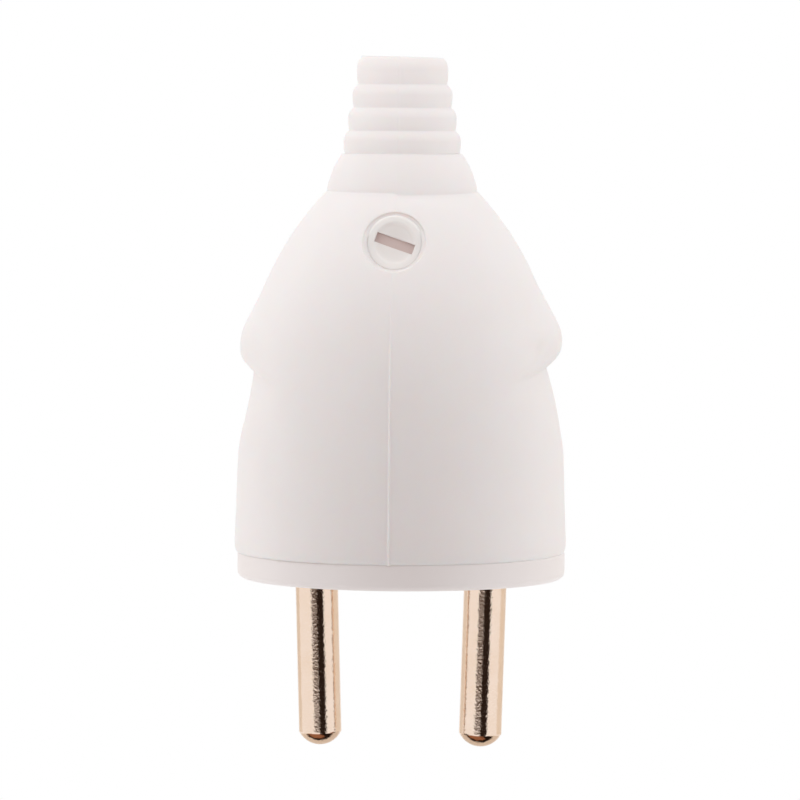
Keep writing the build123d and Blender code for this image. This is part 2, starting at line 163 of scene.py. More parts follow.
for name in ("pin_live", "pin_neutral", "earth_socket"):
    nodes[name].material_slots[0].material = brass


# Terminal, insert and clamp screws: small cheese-head screws for the wires and the inner pieces.
# They are cold-headed steel with a bright zinc plating.

ZINC_BRIGHT = "#C9CBCC"
ZINC_DULL = "#B4B7B9"
ZINC_SPANGLE = 0.5 * MM
ZINC_ROUGHNESS = (0.25, 0.42)

# Zinc plating: a cool grey metal, a little blotchy in colour and gloss.
zinc_steel, tree, shader = start_material("steel_zinc_plated")
place = add_node(tree, "ShaderNodeTexCoord").outputs["Object"]
spangle = add_node(
    tree,
    "ShaderNodeTexNoise",
    {"Vector": place, "Scale": 1 / ZINC_SPANGLE, "Detail": 3.0},
)
tint = add_node(
    tree,
    "ShaderNodeMix",
    {0: spangle.outputs["Fac"], 6: colour(ZINC_BRIGHT), 7: colour(ZINC_DULL)},
    data_type="RGBA",
)
gloss = add_node(
    tree,
    "ShaderNodeMapRange",
    {"Value": spangle.outputs["Fac"], "To Min": ZINC_ROUGHNESS[0], "To Max": ZINC_ROUGHNESS[1]},
)
shader["Metallic"].default_value = 1.0
tree.links.new(tint.outputs[2], shader["Base Color"])
tree.links.new(gloss.outputs[0], shader["Roughness"])
terminal_screws = ("terminal_screw_live", "terminal_screw_neutral", "terminal_screw_earth")
for name in (*terminal_screws, "insert_screws", "cord_clamp_screws"):
    nodes[name].material_slots[0].material = zinc_steel


# Insert and cord clamp: the plate that traps the pins, with a stem for the clamp and the cover screw.
# Both are moulded in grey-white polyamide, and only show through the cord inlet.

INSERT_GREY = "#D9D6CF"
INSERT_SHADE = "#CBC7BE"
INSERT_FLOW = 4.0 * MM
INSERT_ROUGHNESS = (0.42, 0.55)
POLYAMIDE_IOR = 1.53

# Moulded polyamide: an off-white, slightly waxy plastic with soft flow marks.
polyamide, tree, shader = start_material("polyamide_moulded")
place = add_node(tree, "ShaderNodeTexCoord").outputs["Object"]
flow = add_node(
    tree,
    "ShaderNodeTexNoise",
    {"Vector": place, "Scale": 1 / INSERT_FLOW, "Detail": 3.0, "Distortion": 1.2},
)
tint = add_node(
    tree,
    "ShaderNodeMix",
    {0: flow.outputs["Fac"], 6: colour(INSERT_GREY), 7: colour(INSERT_SHADE)},
    data_type="RGBA",
)
gloss = add_node(
    tree,
    "ShaderNodeMapRange",
    {"Value": flow.outputs["Fac"], "To Min": INSERT_ROUGHNESS[0], "To Max": INSERT_ROUGHNESS[1]},
)
shader["IOR"].default_value = POLYAMIDE_IOR
tree.links.new(tint.outputs[2], shader["Base Color"])
tree.links.new(gloss.outputs[0], shader["Roughness"])
for name in ("insert", "cord_clamp"):
    nodes[name].material_slots[0].material = polyamide


# Cover: one soft PVC moulding that is pushed over the base, with two finger ears and a ringed neck.
# Its mould halves meet on the front and back, where a thin line of flash runs up the whole height.

base_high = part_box("base")[1]
cover_low, cover_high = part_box("cover")
RIM_Z = cover_low.z / MM
NECK_TOP = cover_high.z / MM
SKIRT_LIP = 0.2
SKIRT_R = base_high.x / MM + SKIRT_LIP
SKIRT_DRAFT = math.tan(math.radians(2.6))
SKIRT_EDGE_W, SKIRT_EDGE_H = 0.32, 1.1
SKIRT_OVER = 0.15  # its lip reaches down over the rounded edge of the base
WALL = 1.8
SHOULDER_Z = 15.3  # where the skirt turns into the bell
CREASE_Z = 43.3  # where the bell meets the flare of the neck
CREASE_R = 8.45
BELL_POWER = 3.05
BELL_GAIN = SKIRT_R - (CREASE_Z - RIM_Z) * SKIRT_DRAFT - CREASE_R


def bell(z):
    """Outside radius of the cover below the crease, without its ears."""
    turn_in = np.maximum(0.0, (z - SHOULDER_Z) / (CREASE_Z - SHOULDER_Z))
    return SKIRT_R - (z - RIM_Z) * SKIRT_DRAFT - BELL_GAIN * turn_in**BELL_POWER


def soft_max(a, b, softness):
    """The larger of two values, rounded where they are alike."""
    return (a + b + np.sqrt((a - b) ** 2 + softness**2)) / 2


def soft_min(a, b, softness):
    """The smaller of two values, rounded where they are alike."""
    return -soft_max(-a, -b, softness)


def arch(share):
    """Rises from 0 to 1 in the middle of a share from 0 to 1, and falls back to 0."""
    return 4 * np.clip(share, 0, 1) * np.clip(1 - share, 0, 1)


# The ears and recesses follow circles about upright lines that stand off the plug's own axis.
# The two sides of the mould differ a little: pairs of values are for the left and the right side.
EAR_Z = 23.4  # crease at the foot of the ears
EAR_LIP_H = 2.1
EAR_BAND_H = 2.0
EAR_PROUD = 1.2
EAR_RAMP = math.tan(math.radians(30))
EAR_RAMP_H = 6.0
EAR_FADE = 3.0  # how fast the ears end above their ramps
EAR_PLAN_R = 12.5
EAR_PLAN_LEAST = 1.0
EAR_RAMP_Z = EAR_Z + EAR_LIP_H + EAR_BAND_H
EAR_R = float(bell(EAR_Z + EAR_LIP_H + EAR_BAND_H / 2)) + EAR_PROUD
RECESS_DEPTH = 1.0
RECESS_FOOT_Z = 16.1
RECESS_PLAN_R = 22.0
RECESS_R = float(bell(EAR_Z)) - RECESS_DEPTH
BROW_START, BROW_TURN = 1.65, 0.65  # how the underside of an ear rounds over to its lip
EAR_HIGHER = (-0.09, 0.30)
EAR_FULLER = (0.03, 0.05)
RECESS_DEEPER = (0.0, 0.18)
RECESS_BOW = (-0.14, 0.14)
EAR_SHARPER = (0.0, 0.27)  # how much sharper the ramps run into the bell
EAR_DROOP = 2.3  # the ears run lower towards the front and back
EAR_BLEND, RAMP_BLEND, CREASE_BLEND = 0.35, 0.7, 0.12
CREASE_SOFTER = 1.3  # the crease below an ear runs out softly towards the front and back
LIP_BLEND, FOOT_BLEND = 0.28, 0.3


def plan_circle(axis, radius, turn):
    """Distance to a circle about an upright line beside the plug's axis; turn is 0 at the front."""
    across = axis * np.cos(turn)
    return axis * np.abs(np.sin(turn)) + np.sqrt(np.maximum(radius**2 - across**2, 0.0))


def of_side(pair, turn):
    """A value that goes from the left side's to the right side's round the cover."""
    return pair[0] + (pair[1] - pair[0]) * (1 + np.sin(turn)) / 2


def finger_cut(turn, z):
    """Radius of the recess at the middle of a side, and of the ear's underside above it."""
    top_r = RECESS_R - of_side(RECESS_DEEPER, turn)
    down = (EAR_Z - z) / (EAR_Z - RECESS_FOOT_Z)
    wall = top_r + (float(bell(RECESS_FOOT_Z)) - top_r) * down + of_side(RECESS_BOW, turn) * arch(down)
    rise = (z - EAR_Z) / EAR_LIP_H
    round_over = np.clip(rise, 0, 1)
    past = np.maximum(rise - 1, 0.0)
    brow = BROW_START * (rise - past) - BROW_TURN * round_over**2 + (BROW_START - 2 * BROW_TURN) * past
    blend = CREASE_BLEND + CREASE_SOFTER * np.cos(turn) ** 2
    return soft_max(wall, top_r + (EAR_R - RECESS_R) * brow, blend)


def recess(turn, z):
    """Radius of the recess and of the ear's underside, all round the cover."""
    cut_r = RECESS_PLAN_R - RECESS_R + finger_cut(turn, z)
    return plan_circle(RECESS_R - RECESS_PLAN_R, cut_r, turn)


# The flash line is a thin ridge, strongest on the skirt, and ends in a small tab below it.
FLASH_W = 0.09
FLASH_H = 0.20
FLASH_WANDER = 0.25  # share by which its height changes along the way
FLASH_WAVES = (0.9, 0.37)  # two slow waves that make up that change, in radians per millimetre
FLASH_FADE_Z = (23.0, 31.0)
FLASH_LEFT = 0.15  # share that is left above the fade
FLASH_ON_NECK = 0.5  # share of its height on the neck
FLASH_TAB, FLASH_TAB_W = 0.35, 0.18


def flash(turn, radius, z):
    """Height of the flash line's ridge over the wall."""
    off = radius * np.sin(turn)
    share = np.interp(z, FLASH_FADE_Z, (1.0, FLASH_LEFT))
    wander = FLASH_WANDER * np.sin(FLASH_WAVES[0] * z) * np.cos(FLASH_WAVES[1] * z)
    return FLASH_H * share * (1 + wander) * np.exp(-((off / FLASH_W) ** 2))


# A shallow dent slants down the front end of the right ear.
DENT_TURN, DENT_Z = math.radians(64), 26.0
DENT_LEAN = math.radians(48)
DENT_W, DENT_L, DENT_DEPTH = 0.45, 1.5, 0.18


def ear_dent(turn, z):
    """Depth of the dent in the right ear."""
    off = EAR_R * (turn - DENT_TURN)
    up = z - DENT_Z
    across = off * math.cos(DENT_LEAN) - up * math.sin(DENT_LEAN)
    along = off * math.sin(DENT_LEAN) + up * math.cos(DENT_LEAN)
    return DENT_DEPTH * np.exp(-((across / DENT_W) ** 2) - (along / DENT_L) ** 2)


def outside(turn, z):
    """Outside radius of the cover from the skirt to the crease."""
    ear_z = z - of_side(EAR_HIGHER, turn) + EAR_DROOP * np.cos(turn) ** 2
    up_ramp = ear_z - EAR_RAMP_Z
    proud = soft_min(0.0, -up_ramp * EAR_RAMP, RAMP_BLEND)
    proud = proud - EAR_FADE * np.maximum(up_ramp - EAR_RAMP_H, 0.0) + of_side(EAR_FULLER, turn)
    ear = plan_circle(EAR_R - EAR_PLAN_R, np.maximum(EAR_PLAN_R + proud, EAR_PLAN_LEAST), turn)
    ear_blend = EAR_BLEND - of_side(EAR_SHARPER, turn) * np.clip(up_ramp / EAR_LIP_H, 0, 1)
    cut_blend = np.interp(ear_z, (RECESS_FOOT_Z, EAR_Z), (FOOT_BLEND, LIP_BLEND))
    skin = soft_min(soft_max(bell(z), ear, ear_blend), recess(turn, ear_z), cut_blend)
    return skin + flash(turn, skin, z) - ear_dent(turn, z)


# The neck: a flare, then rings that step in towards the top.
# Each ring is softly tucked in at its foot, and its shoulder is rounded.
FLARE_H = 4.17
FLARE_BULGE = 0.25
FLARE_LEDGE = 0.2  # the flare ends this far outside the lowest ring
CREASE_GROOVE, CREASE_GROOVE_H = 0.1, 0.5
RING_COUNT = 4
RING_PITCH = 2.58
RING_TOP_R = 5.1
RING_STEP = 0.485
RING_TUCK, RING_TUCK_H = 0.14, 1.1
RING_SIDE_H = 0.3
RING_SIDE_TOP = RING_TUCK_H + RING_SIDE_H
NECK_EDGE_W, NECK_EDGE_H = 0.6, 1.5
BORE_R = 4.0
BORE_EDGE = 0.25
FLARE_TOP = CREASE_Z + FLARE_H


def neck(z):
    """Outside radius of the neck at a height above the crease."""
    ring = np.clip(np.floor((z - FLARE_TOP) / RING_PITCH), 0, RING_COUNT - 1)
    radius = RING_TOP_R + (RING_COUNT - 1 - ring) * RING_STEP
    foot_z = FLARE_TOP + ring * RING_PITCH
    up = z - foot_z
    top = ring == RING_COUNT - 1
    side = np.where(top, NECK_TOP - NECK_EDGE_H - foot_z, RING_SIDE_TOP)
    width = np.where(top, NECK_EDGE_W, RING_STEP + RING_TUCK)
    height = np.where(top, NECK_EDGE_H, RING_PITCH - RING_SIDE_TOP)
    bend = (width**2 + height**2) / (2 * width)
    shoulder = bend - np.sqrt(bend**2 - np.clip(up - side, 0, height) ** 2)
    tuck = RING_TUCK * np.clip(1 - up / RING_TUCK_H, 0, 1) ** 2
    flare_end = RING_TOP_R + (RING_COUNT - 1) * RING_STEP + FLARE_LEDGE
    share = np.clip((z - CREASE_Z) / FLARE_H, 0, 1)
    groove = CREASE_GROOVE * np.clip(1 - (z - CREASE_Z) / CREASE_GROOVE_H, 0, 1) ** 2
    flare = CREASE_R + (flare_end - CREASE_R) * share + FLARE_BULGE * arch(share) - groove
    return np.where(z < FLARE_TOP, flare, radius - shoulder - tuck)


# Columns of the mesh: even steps round the cover, in degrees, close together at the flash lines.
COLUMN_STEP = 1.5
FLASH_OFFSETS = (0.13, 0.27, 0.42, 0.62, 0.95, 1.6)
FLASH_CLEAR = 2  # the even steps leave this much free on each side of a flash line
even = [a for a in np.arange(-180, 180, COLUMN_STEP) if min(abs(a), 180 - abs(a)) > FLASH_CLEAR]
fine = [middle + sign * off for middle in (0, -180) for off in FLASH_OFFSETS for sign in (-1, 1)]
degrees = sorted((a + 180) % 360 - 180 for a in [*even, *fine, 0, -180])
turn = np.radians(np.array(degrees))

# Rows of the mesh: up the outside, over the neck's top, down its bore and down the inside.
# They lie close together at the ears, the screw's pit and the rings.
PIT_Z = (33.0, 42.9)  # heights between which the screw's pit is let in
PIT_SIDE = 33.0  # degrees to each side of the front
EAR_ROWS_Z = (22.4, 28.6)
SKIRT_ROW, EAR_ROW, SHOULDER_ROW = 0.5, 0.13, 0.4  # distances between rows
EDGE_ROWS, PIT_ROWS, CREASE_ROWS, FLARE_ROWS = 7, 26, 4, 26
RING_SIDE_ROWS, RING_SHOULDER_ROWS, TOP_RING_ROWS = 11, 10, 26
ROW_GAP = 0.1  # between one set of rows and the next
FLARE_GAP, RING_GAP = 0.06, 0.02  # from the crease and from each step, which stay sharp
pit_z = np.linspace(*PIT_Z, PIT_ROWS)
edge = np.linspace(0, math.pi / 2, EDGE_ROWS)
edge_z = RIM_Z - SKIRT_OVER + SKIRT_EDGE_H * (1 - np.cos(edge))
edge_in = SKIRT_EDGE_W * (1 - np.sin(edge))
bell_z = np.concatenate(
    [
        np.arange(edge_z[-1] + SKIRT_ROW, EAR_ROWS_Z[0], SKIRT_ROW),
        np.arange(*EAR_ROWS_Z, EAR_ROW),
        np.arange(EAR_ROWS_Z[1] + ROW_GAP, PIT_Z[0] - 2 * ROW_GAP, SHOULDER_ROW),
        pit_z,
        np.linspace(PIT_Z[1] + ROW_GAP, CREASE_Z, CREASE_ROWS),
    ]
)
ring_z = np.concatenate(
    [
        np.linspace(RING_GAP, RING_SIDE_TOP, RING_SIDE_ROWS),
        np.linspace(RING_SIDE_TOP + ROW_GAP, RING_PITCH - RING_GAP, RING_SHOULDER_ROWS),
    ]
)
top_ring_foot = FLARE_TOP + (RING_COUNT - 1) * RING_PITCH
neck_z = np.concatenate(
    [
        np.linspace(CREASE_Z + FLARE_GAP, FLARE_TOP - RING_GAP, FLARE_ROWS),
        *[FLARE_TOP + ring * RING_PITCH + ring_z for ring in range(RING_COUNT - 1)],
        np.linspace(top_ring_foot + RING_GAP, NECK_TOP - RING_GAP, TOP_RING_ROWS),
    ]
)
MOUTH_R = 0.14  # rounding of the very edge of the neck
MOUTH_START = 0.2  # angle on that rounding at which the rows of the neck go over into it
MOUTH_ROWS = 5
mouth = np.linspace(MOUTH_START, math.pi / 2, MOUTH_ROWS)
mouth_r = RING_TOP_R - NECK_EDGE_W - MOUTH_R * np.sin(mouth)
mouth_z = NECK_TOP - MOUTH_R * (1 - np.sin(mouth))

# The inside follows the bell at the wall's thickness, up to a sloping ceiling round the bore.
SLOPE_REACH = 0.01  # half the height over which the bell's slope is taken
CEILING_SLOPE = math.tan(math.radians(20))
INSIDE_ROWS, INSIDE_GAP = 24, 1.0
BORE_ROWS, BORE_GAPS = 5, (3.0, 2.0)  # gaps from the neck's top and from the ceiling


def inner_bell(z):
    """Inside radius and height of the wall that belongs to a height of the outside."""
    slope = (bell(z + SLOPE_REACH) - bell(z - SLOPE_REACH)) / (2 * SLOPE_REACH)
    length = np.hypot(1, slope)
    return bell(z) - WALL / length, z + WALL * slope / length


inside_z = np.concatenate([pit_z[::-1], np.linspace(PIT_Z[0] - INSIDE_GAP, RIM_Z, INSIDE_ROWS)])
inside_r, inside_h = inner_bell(inside_z)
ceiling_z = inside_h[0] + (inside_r[0] - BORE_R) * CEILING_SLOPE
bore_z = np.linspace(NECK_TOP - BORE_GAPS[0], ceiling_z + BORE_GAPS[1], BORE_ROWS)
bore_rows = [(BORE_R + BORE_EDGE, NECK_TOP), (BORE_R, NECK_TOP - BORE_EDGE)]
bore_rows += [(BORE_R, z) for z in (*bore_z, ceiling_z)]


def whole_row(radius, height):
    """One row of the mesh from radii and heights that may change round the cover."""
    return np.broadcast_to(radius, turn.shape), np.broadcast_to(height, turn.shape)


foot = outside(turn, edge_z[-1])
tab = FLASH_TAB * np.exp(-((foot * np.sin(turn) / FLASH_TAB_W) ** 2)) * (np.cos(turn) > 0)
rows = [whole_row(SKIRT_R - WALL, RIM_Z), whole_row(SKIRT_R - 2 * SKIRT_EDGE_W, RIM_Z)]
rows += [whole_row(foot - inset, z - tab * math.sin(a)) for inset, z, a in zip(edge_in, edge_z, edge)]
pit_first = len(rows) + int(np.argmin(np.abs(bell_z - PIT_Z[0])))
rows += [whole_row(outside(turn, z), z) for z in bell_z]
rows += [whole_row(neck(z) + FLASH_ON_NECK * flash(turn, neck(z), z), z) for z in neck_z]
rows += [whole_row(r, z) for r, z in zip(mouth_r, mouth_z)]
rows += [whole_row(r, z) for r, z in bore_rows]
inside_first = len(rows)
# The inside ends one row above the rim, because the first row of all is there.
for r, h in zip(inside_r[:-1], inside_h[:-1]):
    rows.append(whole_row(np.minimum(r, recess(turn, h) - WALL), h))
radii = np.array([row[0] for row in rows])
heights = np.array([row[1] for row in rows])
row_count, column_count = radii.shape
points = np.stack([radii * np.sin(turn), -radii * np.cos(turn), heights], axis=-1).reshape(-1, 3)

# The screw's pit: a round hole with a softened rim, whose wall draws in to the screw's head.
# It has a floor with a hole for the shank, and a boss behind it.
SCREW_Z = 37.95
SCREW_TILT = math.radians(8)
PIT_R = 3.455
PIT_FOOT_R = 2.98  # the soft wall draws in and closes on the screw's head
PIT_FOOT = -1.0
PIT_FLOOR = -3.5
PIT_RIM_R = 0.12
PIT_LEDGE = 0.03  # least height of the wall, where the shoulder falls away above the screw
SHANK_HOLE_R = 2.0
BOSS_R, BOSS_FLOOR = 4.3, 1.2
BOSS_END = PIT_FLOOR - BOSS_FLOOR
WALL_SEARCH, WALL_HALVINGS = 6.0, 40  # how far from the shoulder a wall is looked for, and how finely
screw_origin = np.array([0.0, -float(bell(SCREW_Z)), SCREW_Z])
screw_out = np.array([0.0, -math.cos(SCREW_TILT), math.sin(SCREW_TILT)])
screw_across = np.array([1.0, 0.0, 0.0])
screw_up = np.cross(screw_out, screw_across)


def about_screw(radius, angle, depth):
    """Points at a radius and an angle about the screw, at a depth along its axis."""
    radius, angle, depth = np.broadcast_arrays(radius, angle, depth)
    spoke = np.cos(angle)[:, None] * screw_across + np.sin(angle)[:, None] * screw_up
    return screw_origin + radius[:, None] * spoke + depth[:, None] * screw_out


def meets_wall(radius, angle, wall):
    """Depth at which a tube about the screw meets a wall, by halving."""
    low = np.full(angle.shape, -WALL_SEARCH)
    high = np.full(angle.shape, WALL_SEARCH)
    for _ in range(WALL_HALVINGS):
        middle = (low + high) / 2
        p = about_screw(radius, angle, middle)
        beyond = np.hypot(p[:, 0], p[:, 1]) > wall(np.arctan2(p[:, 0], -p[:, 1]), p[:, 2])
        low = np.where(beyond, low, middle)
        high = np.where(beyond, middle, high)
    return (low + high) / 2


def inner_wall(turn, z):
    """Inside radius of the bell, which is the same all round."""
    return np.interp(z, inside_h[::-1], inside_r[::-1])


# A window of rows and columns is left open in the bell's outside, and one in its inside.
pit_columns = np.flatnonzero(np.abs(degrees) <= PIT_SIDE)
first, last = pit_columns[0], pit_columns[-1]
low_row, high_row = pit_first, pit_first + PIT_ROWS - 1
border = [(low_row, column) for column in range(first, last)]
border += [(row, last) for row in range(low_row, high_row)]
border += [(high_row, column) for column in range(last, first, -1)]
border += [(row, first) for row in range(high_row, low_row, -1)]
border = np.array(border)
inner_border = np.stack([inside_first + high_row - border[:, 0], border[:, 1]], axis=1)


def wall_loops(border, rim, wall, shares):
    """Loops of points on a wall that change from the border's square to a round rim."""
    rows, columns = border.T
    rim_turn, rim_z = np.arctan2(rim[:, 0], -rim[:, 1]), rim[:, 2]
    for share in shares:
        t = turn[columns] + (rim_turn - turn[columns]) * share
        z = heights[rows, columns] + (rim_z - heights[rows, columns]) * share
        r = wall(t, z)
        yield np.stack([r * np.sin(t), -r * np.cos(t), z], axis=1)


# Loops join the windows: over the outside, round the rim, down the pit, out to the boss and back.
PIT_LOOPS, RIM_LOOPS = 9, 5
PIT_WALL_SHARES = (0.35, 0.7, 1.0)
BOSS_SHARES = (0.7, 0.4)
border_points = points[border[:, 0] * column_count + border[:, 1]] - screw_origin
spoke_angle = np.arctan2(border_points @ screw_up, border_points @ screw_across)
rim_depth = meets_wall(PIT_R + PIT_RIM_R, spoke_angle, outside)
rim = about_screw(PIT_R + PIT_RIM_R, spoke_angle, rim_depth)
loops = list(wall_loops(border, rim, outside, np.linspace(0, 1, PIT_LOOPS + 1)[1:]))
for a in np.linspace(0, math.pi / 2, RIM_LOOPS + 1)[1:]:
    depth = rim_depth - PIT_RIM_R * (1 - math.cos(a))
    loops.append(about_screw(PIT_R + PIT_RIM_R * (1 - math.sin(a)), spoke_angle, depth))
wall_top = rim_depth - PIT_RIM_R
wall_foot = np.minimum(PIT_FOOT, wall_top - PIT_LEDGE)
for share in PIT_WALL_SHARES:
    depth = wall_top + (wall_foot - wall_top) * share
    loops.append(about_screw(PIT_R + (PIT_FOOT_R - PIT_R) * share, spoke_angle, depth))
for radius, depth in (
    (PIT_FOOT_R, PIT_FLOOR),
    ((PIT_FOOT_R + SHANK_HOLE_R) / 2, PIT_FLOOR),
    (SHANK_HOLE_R, PIT_FLOOR),
    (SHANK_HOLE_R, BOSS_END),
    (BOSS_R, BOSS_END),
):
    loops.append(about_screw(radius, spoke_angle, depth))
boss_foot = about_screw(BOSS_R, spoke_angle, meets_wall(BOSS_R, spoke_angle, inner_wall))
loops.append(boss_foot)
loops += list(wall_loops(inner_border, boss_foot, inner_wall, BOSS_SHARES))

# Quads of the rows, without the two windows, and of the loops that join the windows.
row_of, column_of = np.meshgrid(np.arange(row_count), np.arange(column_count), indexing="ij")
in_columns = (column_of >= first) & (column_of < last)
in_pit = in_columns & (row_of >= low_row) & (row_of < high_row)
in_boss = in_columns & (row_of >= inside_first) & (row_of < inside_first + high_row - low_row)
next_row = (row_of + 1) % row_count
next_column = (column_of + 1) % column_count
corners = ((row_of, column_of), (row_of, next_column), (next_row, next_column), (next_row, column_of))
quads = np.stack([row * column_count + column for row, column in corners], axis=-1)
quads = quads[~(in_pit | in_boss)]
loop_count = len(border)
ids = [border[:, 0] * column_count + border[:, 1]]
ids += [len(points) + k * loop_count + np.arange(loop_count) for k in range(len(loops))]
ids.append(inner_border[:, 0] * column_count + inner_border[:, 1])
strips = [np.stack([a, np.roll(a, -1), np.roll(b, -1), b], axis=1) for a, b in zip(ids[:-1], ids[1:])]
points = np.concatenate([points, *loops])
quads = np.concatenate([quads, *strips])

# The mould halves don't quite match: the crease dips and steps in front, and the neck's top is askew.
# The cover has a little play on its base, and sits to the left and forward.
CREASE_DIP = 0.28
CREASE_STEP, CREASE_STEP_W = 0.13, 0.35
CREASE_LEFT = 0.15  # how far its left end runs down
CREASE_REACH = 0.9  # how far above and below the crease this goes
NECK_SKEW = 0.22
COVER_PLAY = (-0.1, -0.14)
x, y, z = points.T
near_crease = np.exp(-(((z - CREASE_Z) / CREASE_REACH) ** 2))
to_front = np.clip(-y / CREASE_R, 0, 1)
to_left = np.clip(-x / CREASE_R, 0, 1)
step = CREASE_STEP * np.tanh(x / CREASE_STEP_W) * (y < 0)
z -= (CREASE_DIP * to_front**2 + step + CREASE_LEFT * to_left**2) * near_crease
near_top = np.clip((z - NECK_TOP + RING_PITCH) / RING_PITCH, 0, 1)
z -= NECK_SKEW * near_top**2 * (0.5 + x / (2 * RING_TOP_R))
x += COVER_PLAY[0]
y += COVER_PLAY[1]


def add_piece(name, points, faces):
    """A mesh object from points in metres and faces, in the scene."""
    mesh = bpy.data.meshes.new(name)
    mesh.from_pydata(points, [], faces)
    piece = bpy.data.objects.new(name, mesh)
    bpy.context.scene.collection.objects.link(piece)
    return piece


soft_cover = add_piece("soft_cover", (points * MM).tolist(), quads.tolist())
soft_cover.data.polygons.foreach_set("use_smooth", np.ones(len(quads), bool))
soft_cover.data.update()

COVER_WHITE = "#F7F1F0"
COVER_SHADE = "#F3ECEA"
COVER_CLOUD = 7.0 * MM
COVER_SKIN = 0.30 * MM  # satin mould texture, drawn coarser than it is so that it shows
COVER_SKIN_DEPTH = 0.003 * MM
COVER_SAG = 6.0 * MM  # slow waves where the thick wall shrank in the mould
COVER_SAG_DEPTH = 0.03 * MM
COVER_ROUGHNESS = (0.44, 0.56)
COVER_SEEP_SHARE = 0.35  # of the light that goes inside
COVER_SEEP_DEPTH = 0.6 * MM
COVER_SEEP = (1.0, 0.55, 0.4)  # shares of that depth for red, green and blue light
PVC_IOR = 1.53

# Soft PVC: a warm satin white that lets a little light in, so that its shadows turn pinkish.
soft_pvc, tree, shader = start_material("soft_pvc_moulded")
place = add_node(tree, "ShaderNodeTexCoord").outputs["Object"]
cloud = add_node(tree, "ShaderNodeTexNoise", {"Vector": place, "Scale": 1 / COVER_CLOUD, "Detail": 3.0})
tint = add_node(
    tree,
    "ShaderNodeMix",
    {0: cloud.outputs["Fac"], 6: colour(COVER_WHITE), 7: colour(COVER_SHADE)},
    data_type="RGBA",
)
skin = add_node(tree, "ShaderNodeTexNoise", {"Vector": place, "Scale": 1 / COVER_SKIN, "Detail": 2.0})
sag = add_node(tree, "ShaderNodeTexNoise", {"Vector": place, "Scale": 1 / COVER_SAG, "Detail": 1.0})
waves = add_node(tree, "ShaderNodeBump", {"Height": sag.outputs["Fac"], "Distance": COVER_SAG_DEPTH})
relief = add_node(
    tree,
    "ShaderNodeBump",
    {"Height": skin.outputs["Fac"], "Distance": COVER_SKIN_DEPTH, "Normal": waves.outputs[0]},
)
gloss = add_node(
    tree,
    "ShaderNodeMapRange",
    {"Value": cloud.outputs["Fac"], "To Min": COVER_ROUGHNESS[0], "To Max": COVER_ROUGHNESS[1]},
)
shader["IOR"].default_value = PVC_IOR
shader["Subsurface Weight"].default_value = COVER_SEEP_SHARE
shader["Subsurface Radius"].default_value = COVER_SEEP
shader["Subsurface Scale"].default_value = COVER_SEEP_DEPTH
tree.links.new(tint.outputs[2], shader["Base Color"])
tree.links.new(gloss.outputs[0], shader["Roughness"])
tree.links.new(relief.outputs[0], shader["Normal"])
soft_cover.data.materials.append(soft_pvc)
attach(soft_cover, "root")
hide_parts("cover")


# Cover screw: a slotted screw in the front shoulder, driven through the cover into the insert's stem.
# It is moulded in natural nylon, with a dished head, a rounded rim and a slot; the dish and the slot get
# painted shade, greyer and warmer the deeper they lie.

HEAD_R = 3.08
HEAD_SINK = 0.82  # the rim of the head, below the shoulder
HEAD_EDGE_R = 0.30
HEAD_PLAY = (-0.07, -0.02)  # the head isn't quite in the middle of its pit
DISH_STEP, DISH_CONE = 0.18, 0.30
DISH_DEPTH = DISH_STEP + DISH_CONE
DISH_EDGE = (1.95, 2.35)  # the dish rises to the rim between these radii
SLOT_LENGTH, SLOT_WIDTH, SLOT_DEPTH = 4.4, 1.1, 0.16
SLOT_BEVEL = 0.05
SLOT_TURN = math.radians(-19)
SHANK_R, SHANK_LENGTH = 1.8, 4.2
SHARP_EDGE = math.radians(40)
SIDE_POINTS = 24  # along each side of the slot, and on each quarter of the rim
FACE_LOOPS, EDGE_LOOPS = 16, 7


def head_face(radius):
    """Depth of the head's face along the screw's axis, at a distance from the axis."""
    inside = 1 - np.clip((radius - DISH_EDGE[0]) / (DISH_EDGE[1] - DISH_EDGE[0]), 0, 1)
    cone = DISH_CONE * np.clip(1 - radius / DISH_EDGE[1], 0, 1)
    dish = cone + DISH_STEP * inside**2 * (3 - 2 * inside)
    edge = np.clip(radius - HEAD_R + HEAD_EDGE_R, 0, HEAD_EDGE_R)
    return -HEAD_SINK - dish - HEAD_EDGE_R + np.sqrt(HEAD_EDGE_R**2 - edge**2)


def head_points(flat, depth):
    """Points of the screw from places on its face, turned with the slot, and their depths."""
    across = flat[:, 0] * math.cos(SLOT_TURN) - flat[:, 1] * math.sin(SLOT_TURN) + HEAD_PLAY[0]
    up = flat[:, 0] * math.sin(SLOT_TURN) + flat[:, 1] * math.cos(SLOT_TURN) + HEAD_PLAY[1]
    on_face = screw_origin + across[:, None] * screw_across + up[:, None] * screw_up
    return on_face + np.broadcast_to(depth, across.shape)[:, None] * screw_out


steps = np.linspace(-1, 1, SIDE_POINTS, endpoint=False)
ends = np.ones(SIDE_POINTS)
lower_right = [np.stack([steps, -ends], axis=1), np.stack([ends, steps], axis=1)]
square = np.concatenate([*lower_right, -lower_right[0], -lower_right[1]])
circle = square / np.hypot(square[:, :1], square[:, 1:])
slot = square * (SLOT_LENGTH / 2, SLOT_WIDTH / 2)
slot_mouth = slot + SLOT_BEVEL * np.trunc(square)  # each side moves straight out
slot_edge = head_face(np.hypot(slot_mouth[:, 0], slot_mouth[:, 1]))
head_loops = [
    head_points(slot, -HEAD_SINK - DISH_DEPTH - SLOT_DEPTH),
    head_points(slot, slot_edge - SLOT_BEVEL),
]
for share in np.linspace(0, 1, FACE_LOOPS):
    flat = slot_mouth + (circle * (HEAD_R - HEAD_EDGE_R) - slot_mouth) * share
    head_loops.append(head_points(flat, head_face(np.hypot(flat[:, 0], flat[:, 1]))))
